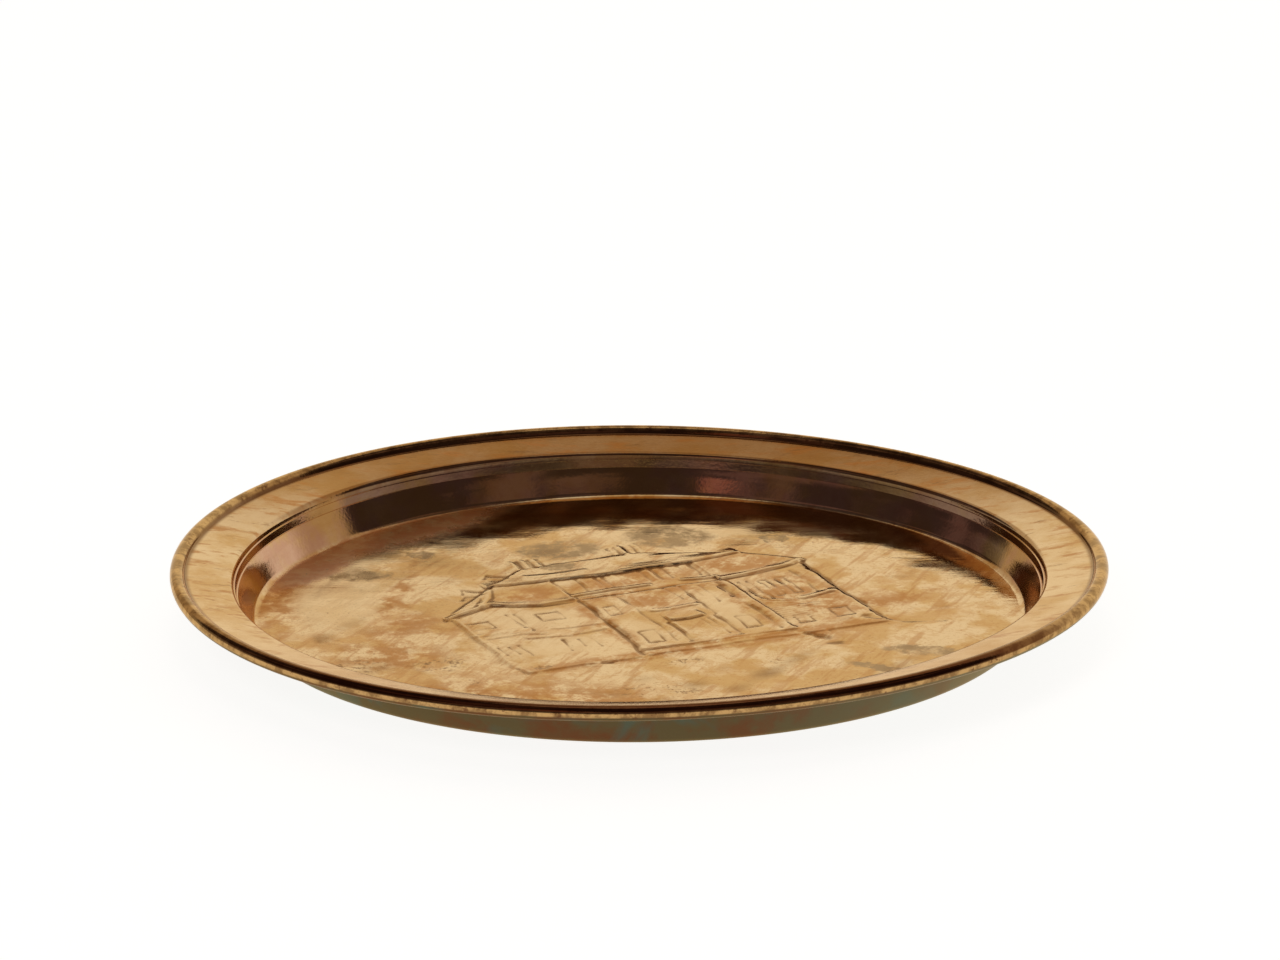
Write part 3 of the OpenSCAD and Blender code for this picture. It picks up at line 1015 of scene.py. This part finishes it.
# Painted shade over a brown stain: the far side of the flange is darkened to stand in for a dark reflection.
BACK_BROWN_AND_SHADE = (0.24, 0.085, 0.012)
flange_tone = blend_colour(tree, times(tree, far_side, 0.8), flange_tone, BACK_BROWN_AND_SHADE)
flange_tone = blend_colour(tree, times(tree, near_side, 0.35), flange_tone, ORANGE)
drips = noise(tree, stretched(tree, place, 1, 3, 0), 0.16, 5, 0.7)
flange_tone = blend_colour(tree, ramp(tree, drips, 0.50, 0.64, 0, 0.85), flange_tone, ORANGE)
streaks = ramp(tree, noise(tree, stretched(tree, place, 1, 4, 10), 0.22, 6, 0.8), 0.58, 0.66, 0, 0.7)
flange_tone = blend_colour(tree, streaks, flange_tone, (0.20, 0.085, 0.03))
light_patches = ramp(tree, noise(tree, place, 0.09, 5, 0.7), 0.52, 0.68, 0, 0.6)
light_patches = times(tree, light_patches, ramp(tree, split.outputs[1], 80, 20))
flange_tone = blend_colour(tree, light_patches, flange_tone, PALE)
colour = blend_colour(tree, times(tree, on_flange, 0.9), colour, flange_tone)

# %% Bead and crease
dull_bead = ramp(tree, noise(tree, place, 0.22, 4, 0.7), 0.4, 0.62)
bead_tone = blend_colour(tree, dull_bead, GOLD, (0.25, 0.135, 0.05))
bead_spots = ramp(tree, noise(tree, place, 0.4, 4, 0.8), 0.54, 0.66, 0, 0.8)
bead_tone = blend_colour(tree, bead_spots, bead_tone, BROWN)
# Painted shade with some rust: the upper half of the bead is darkened on the near side, standing in for a
# dark reflection.
bead_tone = blend_colour(tree, times(tree, near_side, shade_and_grime), bead_tone, RUST_AND_SHADE)
colour = blend_colour(tree, on_bead, colour, bead_tone)
# Painted shade: a brown line darkens the crease between bead and flange.
crease_shade = times(tree, ramp(tree, radius, 119.6, 120.9), ramp(tree, radius, 121.6, 121.1))
colour = blend_colour(tree, times(tree, crease_shade, 0.85), colour, BROWN)

# %% [markdown]
# ### Outside
# Nobody polishes the outside. It has a dull olive and brown skin with some green in it, and
# it is paler at the right.

# %% Outside and underside
skin = blend_colour(tree, ramp(tree, noise(tree, place, 0.05, 5, 0.65), 0.42, 0.62), OLIVE, BROWN)
skin = blend_colour(tree, ramp(tree, noise(tree, place, 0.035, 4, 0.6, 0.5), 0.52, 0.64, 0, 0.7), skin, TEAL)
right_side = ramp(tree, split.outputs[0], 10, 105, 0, 0.6)
skin = blend_colour(tree, right_side, skin, (0.17, 0.16, 0.10))
colour = blend_colour(tree, outer, colour, skin)
tree.links.new(colour, shader.inputs["Base Color"])

# %% [markdown]
# ### Gloss
# Clean metal is glossy, and it gets duller on the left of the floor, in the hollows, under
# the blotches and in the dull patches at the back left, and most of all outside. The specular
# tint is a chosen value: it keeps the stained metal from going white at a flat angle.

# %% Gloss
gloss = ramp(tree, noise(tree, place, 0.08, 5, 0.65), 0.35, 0.7, 0.07, 0.15)
left_dull = ramp(tree, split.outputs[0], 20, -50, 0, 0.1)
matt = times(tree, left_dull, ramp(tree, split.outputs[1], 70, 40))
gloss = maths(tree, "ADD", gloss, times(tree, matt, on_floor))
gloss = maths(tree, "ADD", gloss, times(tree, in_hollow, 0.15))
gloss = maths(tree, "ADD", gloss, times(tree, blotch_share, 0.08))
gloss = maths(tree, "MULTIPLY_ADD", outer, 0.22, gloss)
gloss = maths(tree, "MULTIPLY_ADD", dull_patch, 0.2, gloss)
tree.links.new(gloss, shader.inputs["Roughness"])
tree.links.new(maths(tree, "MULTIPLY_ADD", dull_patch, -0.75, 1.0), shader.inputs["Metallic"])
shader.inputs["Specular Tint"].default_value = (0.95, 0.80, 0.60, 1)

# %% [markdown]
# ### Fine surface
# The bump holds only what is too small for the mesh: ripples of the press, pits and fine
# scratches, all below a tenth of a millimetre.

# %% Surface
ripples = noise(tree, stretched(tree, place, 1, 6, 0), 0.3, 2, 0.5)
pits = noise(tree, place, 1.1, 2, 0.6)
scratches = noise(tree, stretched(tree, place, 0.25, 14, 28), 0.8, 1, 0.5)
relief = times(tree, ripples, maths(tree, "MULTIPLY_ADD", on_floor, 0.8, 0.2))
relief = maths(tree, "MULTIPLY_ADD", pits, 0.25, relief)
relief = maths(tree, "MULTIPLY_ADD", scratches, 0.10, relief)
bump = add(tree, "Bump", Strength=1.0, Distance=0.00006, Height=relief)
tree.links.new(bump.outputs[0], shader.inputs["Normal"])
dish.data.materials.append(copper)
print("nodes in the finish of the sheet:", len(tree.nodes))

# %% [markdown]
# ## The finish of the wire
# The wire was never polished. Hidden in the roll it stays dark, with patches of rust and a
# fine grain, so a plain mix of two dark tones is enough.

# %% Wire finish
dark_wire, tree, shader = new_material("dark_wire")
place = add(tree, "TexCoord").outputs["Object"]
place = add(tree, "VectorMath", {"operation": "SCALE"}, i0=place, i3=1000.0).outputs[0]
rust = ramp(tree, noise(tree, place, 0.5, 4, 0.7), 0.4, 0.65)
tone = blend_colour(tree, rust, (0.16, 0.10, 0.05), (0.05, 0.032, 0.02))
tree.links.new(tone, shader.inputs["Base Color"])
tree.links.new(ramp(tree, rust, 0, 1, 0.35, 0.6), shader.inputs["Roughness"])
grain = noise(tree, place, 2.5, 2, 0.6)
bump = add(tree, "Bump", Strength=0.6, Distance=0.00004, Height=grain)
tree.links.new(bump.outputs[0], shader.inputs["Normal"])
shader.inputs["Metallic"].default_value = 0.85
wire.data.materials.append(dark_wire)
print("finishes:", [copper.name, dark_wire.name])
